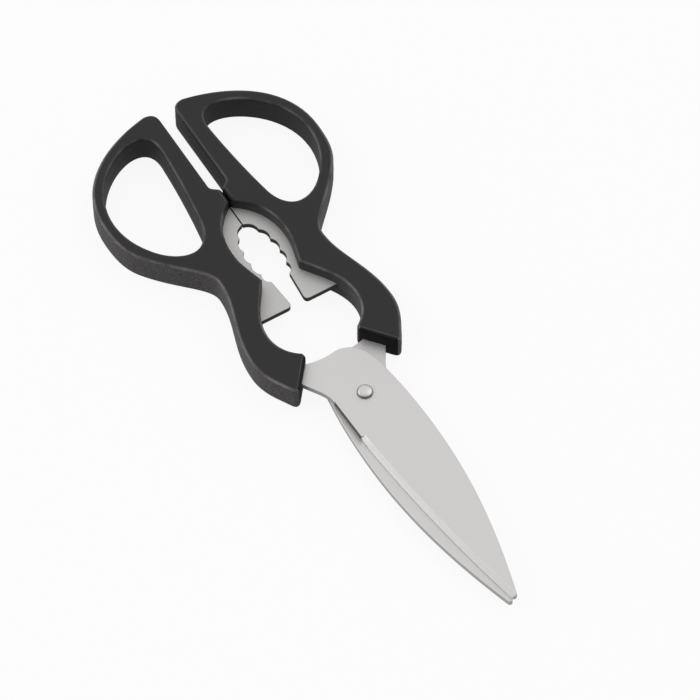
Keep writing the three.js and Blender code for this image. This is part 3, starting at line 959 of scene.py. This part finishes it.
@dataclass
class Handle:
    """A moulded handle with its finger loop, closing stop, jaw window and opener recess.

    Attributes:
        thickness: Height of the moulding around the finger loop.
        end_thickness: Its height at the end face.
        thinning_reach: Where it starts to thin towards the end face.
        edge_radius: Rounding of its edges.
        edge_steps: Steps around each rounding.
        gap: Gap between the two handles at their far ends.
        loop_length: Length of the finger loop.
        loop_side: Offset of the loop's inner side.
        loop_width: Width of the loop.
        loop_crest: Reach of the loop's crest.
        ring_far: Width of the ring at its far end.
        ring_outer: Width of the ring at its crest.
        seam_height: How far the mould's parting line stands out.
        seam_width: Half the width of the parting line.
    """

    thickness: float = 10.6
    end_thickness: float = 9.6
    thinning_reach: float = 46.0
    edge_radius: float = 1.1
    edge_steps: int = 7
    gap: float = 6.0
    loop_length: float = 46.5
    loop_side: float = 9.0
    loop_width: float = 26.7
    loop_crest: float = 93.4
    ring_far: float = 7.2
    ring_outer: float = 3.7
    seam_height: float = 0.05
    seam_width: float = 0.14

    def loop(self) -> Ring:
        """Draws the finger loop, clockwise."""
        near_round, far_round, flare = 8.3, 7.0, 3.4
        far = LOOP_NEAR + self.loop_length
        top = self.loop_side + self.loop_width
        turn = -LOOP_NEAR - near_round
        pen = Outline()
        pen.line(-far + far_round, self.loop_side)
        pen.sweep(turn, self.loop_side + flare, (0.33, 0.15, 0.72, 0.56))
        pen.sweep(-LOOP_NEAR, self.loop_side + 0.4 * self.loop_width, (0.55, 0.12, 1.0, 0.49))
        pen.sweep(turn, top - 0.16 * self.loop_width, (0.0, 0.4, 0.47, 0.78))
        pen.sweep(-self.loop_crest, top, (0.27, 0.6, 0.62, 1.0))
        pen.sweep(-far, self.loop_side + 0.22 * self.loop_width, (0.6, 0.0, 1.0, 0.66))
        pen.sweep(-far + far_round, self.loop_side, (0.0, 0.75, 0.375, 1.0))
        return pen.ring()[::-1]

    def outline(self) -> Ring:
        """Draws the handle from its far end along the inner side to the end face, and back outside."""
        far = LOOP_NEAR + self.loop_length + self.ring_far
        top = self.loop_side + self.loop_width + self.ring_outer
        inner, stop = self.gap / 2, STOP_GAP / 2
        corner, stop_far = 4.2, STOP_NEAR + 4.4
        arm, opener = Vector((-ARM_REACH, ARM_OFFSET)), Vector((-OPENER_REACH, OPENER_DEPTH))
        inner_reach, outer_reach, inner_round, outer_round = 9.4, 5.4, 1.6, 3.0
        inner_corner, outer_corner = end_face_point(-inner_reach), end_face_point(outer_reach)
        round_in = inner_corner + (opener - inner_corner).normalized() * inner_round
        arm_curve = (0.28, 0.4, 0.57, 1.0)
        waist, shoulder = Vector((-56.6, 19.0)), Vector((-77.4, top - 3.95))
        leaving = Vector(((arm.x - outer_corner.x) * arm_curve[0], (arm.y - outer_corner.y) * arm_curve[1]))
        round_out = outer_corner + leaving.normalized() * outer_round
        face_end = end_face_point(outer_reach - outer_round)
        pen = Outline()
        pen.line(-far + corner, inner)
        pen.line(-stop_far - 4.0, inner)
        pen.sweep(-stop_far, stop, (0.5, 0.0, 0.5, 1.0))
        pen.line(-STOP_NEAR, stop)
        pen.sweep(-JAW_CENTRE, JAW_DEPTH, (0.29, 0.74, 0.59, 1.0))
        pen.sweep(-SPUR_REACH, SPUR_OFFSET, (0.38, 0.0, 0.69, 0.7))
        pen.sweep(opener.x, opener.y, (0.23, 0.26, 0.57, 1.0))
        pen.sweep(round_in.x, round_in.y, (0.5, 0.0, 0.82, 0.5))
        pen.steps = 8
        pen.bow(inner_corner, end_face_point(-inner_reach + inner_round))
        pen.line(face_end.x, face_end.y)
        pen.steps = 14
        pen.bow(outer_corner, round_out)
        pen.steps = 20
        pen.sweep(arm.x, arm.y, arm_curve)
        pen.sweep(waist.x, waist.y, (0.41, 0.0, 0.66, 1.0))
        pen.sweep(shoulder.x, shoulder.y, (0.26, 0.0, 0.5, 0.55))
        pen.sweep(-self.loop_crest, top, (0.29, 0.85, 0.61, 1.0))
        pen.sweep(-far, inner + corner, (0.59, 0.0, 0.9, 0.49))
        pen.bow(Vector((-far, inner)), Vector((-far + corner, inner)))
        return pen.ring()

    def layers(self) -> list[Layer]:
        """Rings of the moulding's wall, from the underside up: rounded edges and a parting line."""
        half, radius, seam = self.thickness / 2, self.edge_radius, self.seam_height
        margin, rim_sheen, seam_wear_and_sheen = 0.12, 0.6, 0.25
        lower = [Layer(seam + radius + margin, -half)]
        # The edge mark paints a highlight along the middle of each rounding and along the rim beside the
        # smooth faces, and polish with highlight along the parting line.
        for step in range(self.edge_steps + 1):
            turn = 0.5 * math.pi * step / self.edge_steps
            inset, height = seam + radius * (1 - math.sin(turn)), half - radius * (1 - math.cos(turn))
            rim = rim_sheen if step == 0 else 0.0
            lower.append(Layer(inset, -height, math.sin(2 * turn) ** 3, math.sin(turn), rim))
        lower += [Layer(seam, -width, wall=1.0) for width in (3 * self.seam_width, self.seam_width)]
        middle = [Layer(0.0, 0.0, seam_wear_and_sheen, wall=1.0)]
        upper = [replace(layer, height=-layer.height) for layer in reversed(lower)]
        return lower + middle + upper

    def fullness(self, reach: float) -> float:
        """Share of the full thickness at a place along X."""
        share = (reach + self.thinning_reach) / (self.thinning_reach - END_FACE_DISTANCE)
        share = min(1.0, max(0.0, share))
        eased = share * share * (3.0 - 2.0 * share)
        return 1.0 + (self.end_thickness / self.thickness - 1.0) * eased

    def smooth_and_shaded(self, point: Vector) -> float:
        """Share of the smooth end face and stop face, painted dark as shade, at a point of the outline."""
        face_margin = 0.35
        along = end_face_point(1.0) - end_face_point(0.0)
        outwards = Vector((-along.y, along.x))
        depth = (point - end_face_point(0.0)).dot(outwards)
        at_end = abs(depth) < face_margin and point.x > -OPENER_REACH
        return 1.0 if at_end or point.y < STOP_GAP else 0.0

    def grain_and_light(self, point: Vector, hole: bool) -> float:
        """Share of coarse grain on the wall, and of painted light on it: most on the outer side, none facing
        the other handle.

        Args:
            point: Point of the outline or of the loop.
            hole: Whether the point is one of the loop.

        Returns:
            The share, from 0 to 1.
        """
        loop_grain_and_light, inner_grain_and_light = 0.06, 0.12
        facing_offset, grain_and_light_start, grain_and_light_run = 4.0, 13.0, 4.0
        if hole:
            return loop_grain_and_light
        if point.y < facing_offset:
            return 0.0
        outer = min(1.0, max(0.0, (point.y - grain_and_light_start) / grain_and_light_run))
        return inner_grain_and_light + (1.0 - inner_grain_and_light) * outer

    def build(self, side: Side, name: str) -> bpy.types.Object:
        """Builds the handle's mesh.

        Args:
            side: The half that it belongs to.
            name: The object's name.

        Returns:
            The object.
        """
        skin = Skin(side)
        loops = [self.outline(), self.loop()]
        skin.add_layers(loops, self.layers(), self.fullness, self.smooth_and_shaded, self.grain_and_light)
        return skin.finish(name, crease=32.0)


@dataclass
class Pivot:
    """The rivet that joins the blades and the washer under its peened tail.

    Attributes:
        shank: Radius of the rivet's shank.
        head: Radius and height of its head.
        tail: Radius and height of its peened tail.
        play: Clearance along the rivet.
        washer: Radius and thickness of the washer.
        stack: Half the thickness of the two blades together.
        steps: Steps around each turned piece.
    """

    shank: float = 2.0
    head: tuple[float, float] = (2.55, 1.0)
    tail: tuple[float, float] = (2.5, 0.7)
    play: float = 0.1
    washer: tuple[float, float] = (4.0, 0.6)
    stack: float = 2.05
    steps: int = 72

    def turned(self, name: str, profile: Sequence[Station], crease: float) -> bpy.types.Object:
        """Turns a profile about the pivot.

        Args:
            name: The object's name.
            profile: Radius, height, edge polish with painted highlight, and share of side wall painted dark
                as shade, of each ring, from the lowest up on the outside. Two ends on the axis close the
                piece, and otherwise the last ring joins the first.
            crease: Angle in degrees above which an edge is sharp.

        Returns:
            The object.
        """
        skin = Skin(Side.LOWER)
        rings = []
        for radius, height, edge, wall in profile:
            count = self.steps if radius > 0.0 else 1
            angles = [2.0 * math.pi * i / self.steps for i in range(count)]
            row = [Vector((radius * math.cos(a), radius * math.sin(a), height)) for a in angles]
            rings.append(skin.add_ring(row, {Mark.EDGE: [edge] * count, Mark.WALL: [wall] * count}))
        pairs = list(zip(rings, rings[1:]))
        if len(rings[0]) > 1:
            pairs.append((rings[-1], rings[0]))
        around = [(i, (i + 1) % self.steps) for i in range(self.steps)]
        for below, above in pairs:
            if len(below) == 1:
                skin.faces.extend((below[0], above[after], above[i]) for i, after in around)
            elif len(above) == 1:
                skin.faces.extend((below[i], below[after], above[0]) for i, after in around)
            else:
                skin.add_wall(below, above)
        return skin.finish(name, crease)

    def build_rivet(self) -> bpy.types.Object:
        """Builds the rivet: peened tail, shank and low head with a flat crown."""
        tail_seat = -self.stack - 2 * self.play - self.washer[1]
        head_seat = self.stack + self.play
        tail_steps, head_steps, fullness = 8, 12, 2.0 / 2.6
        wear_and_sheen, shade_foot, shade_fall = 0.2, 2.2, 2.6
        # The head's side is painted dark as shade near its foot; head and tail get edge polish with painted
        # highlight.
        profile = [(0.0, tail_seat - self.tail[1], 0.0, 0.0)]
        for step in range(1, tail_steps + 1):
            turn = 0.5 * math.pi * (1 - step / tail_steps)
            radius, depth = self.tail[0] * math.cos(turn), self.tail[1] * math.sin(turn)
            profile.append((radius, tail_seat - depth, wear_and_sheen, 0.0))
        profile += [(self.shank, tail_seat, 0.0, 1.0), (self.shank, head_seat, 0.0, 1.0)]
        for step in range(head_steps):
            turn = 0.5 * math.pi * step / head_steps
            radius = self.head[0] * math.cos(turn) ** fullness
            risen = math.sin(turn) ** fullness
            foot_shade = min(1.0, max(0.0, shade_foot - shade_fall * risen))
            profile.append((radius, head_seat + self.head[1] * risen, wear_and_sheen * math.sin(2 * turn), foot_shade))
        profile.append((0.0, head_seat + self.head[1], 0.0, 0.0))
        return self.turned("rivet_domed", profile, crease=40.0)

    def build_washer(self) -> bpy.types.Object:
        """Builds the washer, with a broken lower corner."""
        top = -self.stack - self.play
        radius, bottom, bore = self.washer[0], top - self.washer[1], self.shank + self.play
        corner, upper_corner, wear_and_sheen = 0.15, 0.06, 0.4
        # The washer's outer corners get edge polish with painted highlight.
        profile = [
            (bore, bottom, 0.0, 0.0),
            (radius - corner, bottom, wear_and_sheen, 0.0),
            (radius, bottom + corner, wear_and_sheen, 0.0),
            (radius, top - upper_corner, wear_and_sheen, 0.0),
            (radius - upper_corner, top, wear_and_sheen, 0.0),
            (bore, top, 0.0, 0.0),
        ]
        return self.turned("washer_flat", profile, crease=30.0)


@dataclass
class Studio:
    """Pale floor, soft light and the camera.

    Attributes:
        eye: The camera's place in metres.
        target: The point that it looks at.
        lens: Focal length in millimetres.
        sensor: Width of the camera's sensor in millimetres.
        bright_side: Direction of the brightest part of the surroundings.
        glow_start: Cosine to that direction at which the surroundings start to brighten.
        glow: Least and most strength of the surroundings.
    """

    eye: tuple[float, float, float] = (0.660742, -0.394854, 1.172462)
    target: tuple[float, float, float] = (0.002868, 0.004793, 0.0053)
    lens: float = 231.43
    sensor: float = 36.0
    bright_side: tuple[float, float, float] = (-0.55, 0.3, 0.78)
    glow_start: float = -0.6
    glow: tuple[float, float] = (0.2, 0.84)

    def aim(self, obj: bpy.types.Object, target: Vector) -> None:
        """Turns a camera or lamp towards a point."""
        obj.rotation_euler = (target - obj.location).to_track_quat("-Z", "Y").to_euler()

    def camera(self) -> None:
        """Places the camera at the photograph's angle."""
        data = bpy.data.cameras.new("camera")
        data.lens = self.lens
        data.sensor_width = self.sensor
        obj = bpy.data.objects.new("camera", data)
        bpy.context.scene.collection.objects.link(obj)
        obj.location = self.eye
        self.aim(obj, Vector(self.target))
        bpy.context.scene.camera = obj

    def softbox(self, name: str, place: tuple[float, float, float], size: float, power: float) -> None:
        """Hangs a square soft lamp over the scissors.

        Args:
            name: Name of the lamp.
            place: Its place in metres.
            size: Length of its sides in metres.
            power: Power in watts.
        """
        data = bpy.data.lights.new(name, "AREA")
        data.shape = "SQUARE"
        data.size = size
        data.energy = power
        obj = bpy.data.objects.new(name, data)
        bpy.context.scene.collection.objects.link(obj)
        obj.location = place
        self.aim(obj, Vector((0.0, 0.0, 0.0)))

    def floor(self) -> None:
        """Lays a white floor that keeps a faint shadow."""
        size, camera_glow, mirrored_glow = 4.0, 0.9, 0.3
        seen, unseen = (0.95, 0.95, 0.95, 1.0), (0.3, 0.3, 0.3, 1.0)
        mesh = bpy.data.meshes.new("floor")
        corners = [(-size, -size, 0.0), (size, -size, 0.0), (size, size, 0.0), (-size, size, 0.0)]
        mesh.from_pydata(corners, [], [(0, 1, 2, 3)])
        obj = bpy.data.objects.new("floor", mesh)
        bpy.context.scene.collection.objects.link(obj)
        material = bpy.data.materials.new("floor_white")
        material.use_nodes = True
        tree = material.node_tree
        tree.nodes.clear()
        build = NodeBuilder(tree)
        path = build.add("ShaderNodeLightPath")
        camera = path.outputs["Is Camera Ray"]
        mirrored = build.maths("MAXIMUM", path.outputs["Is Glossy Ray"], path.outputs["Is Transmission Ray"])
        matte = build.add("ShaderNodeBsdfDiffuse", {"Color": build.blend(camera, unseen, seen)})
        white = build.add("ShaderNodeEmission", {"Color": WHITE, "Strength": 1.0})
        shares = (camera, camera_glow), (mirrored, mirrored_glow)
        share = build.maths("MAXIMUM", *(build.maths("MULTIPLY", ray, glow) for ray, glow in shares))
        mix = build.add("ShaderNodeMixShader", {0: share, 1: matte.outputs[0], 2: white.outputs[0]})
        build.add("ShaderNodeOutputMaterial", {"Surface": mix.outputs[0]})
        mesh.materials.append(material)

    def world(self) -> None:
        """Fills the surroundings with soft light, brightest above and behind, and white past the floor."""
        world = bpy.data.worlds.new("studio")
        world.use_nodes = True
        world.node_tree.nodes.clear()
        build = NodeBuilder(world.node_tree)
        direction = build.add("ShaderNodeTexCoord").outputs["Generated"]
        sides = {0: direction, 1: self.bright_side}
        facing = build.add("ShaderNodeVectorMath", sides, operation="DOT_PRODUCT").outputs["Value"]
        bright = {"Value": facing, "From Min": self.glow_start, "From Max": 1.0}
        bright |= {"To Min": self.glow[0], "To Max": self.glow[1]}
        strength = build.add("ShaderNodeMapRange", bright).outputs["Result"]
        fill = build.add("ShaderNodeBackground", {"Color": WHITE, "Strength": strength}).outputs[0]
        white = build.add("ShaderNodeBackground", {"Color": WHITE, "Strength": 1.0}).outputs[0]
        camera = build.add("ShaderNodeLightPath").outputs["Is Camera Ray"]
        mix = build.add("ShaderNodeMixShader", {0: camera, 1: fill, 2: white})
        build.add("ShaderNodeOutputWorld", {"Surface": mix.outputs[0]})
        bpy.context.scene.world = world

    def set_up(self) -> None:
        """Builds the whole studio."""
        self.camera()
        self.softbox("key_light", (0.1, 1.1, 1.2), 1.4, 2.6)
        self.softbox("left_light", (-0.95, -1.35, 0.85), 1.8, 11.0)
        self.floor()
        self.world()
        bpy.context.scene.view_settings.view_transform = "Standard"


def main() -> None:
    """Builds the scissors piece by piece, dresses them and sets up the studio."""
    logging.basicConfig(level=logging.INFO, format="%(name)s: %(message)s")
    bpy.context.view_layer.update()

    blade_steel = Steel("blade_steel").material()
    # The jaw plates' cut walls are painted dark as shade.
    jaw_colour, jaw_wall_shade = (0.68, 0.675, 0.665, 1.0), (0.12, 0.12, 0.12, 1.0)
    jaw_steel = Steel("jaw_steel", colour=jaw_colour, wall_colour=jaw_wall_shade, roughness=(0.56, 0.7)).material()
    rivet_lines = (900.0, 900.0, 900.0)
    rivet_steel = Steel("rivet_steel", roughness=(0.24, 0.34), lines=rivet_lines, relief=0.04).material()
    plastic = Plastic("handle_plastic").material()

    blade, plate, handle, pivot = Blade(), JawPlate(), Handle(), Pivot()
    names = {Side.LOWER: ("lower", "right"), Side.UPPER: ("upper", "left")}
    for side, (level, hand) in names.items():
        steel = blade.build(side, f"{level}_blade_ground")
        deliver(steel, f"{level}_blade", side.body, blade_steel)
        stamping = plate.build(side, f"{hand}_jaw_stamping")
        deliver(stamping, f"{hand}_jaw_plate", side.body, jaw_steel)
        moulding = handle.build(side, f"{hand}_handle_moulding")
        deliver(moulding, f"{hand}_handle", side.body, plastic)
    deliver(pivot.build_rivet(), "pivot_rivet", Side.LOWER.body, rivet_steel)
    deliver(pivot.build_washer(), "pivot_washer", Side.LOWER.body, rivet_steel)

    Studio().set_up()


if __name__ == "__main__":
    main()
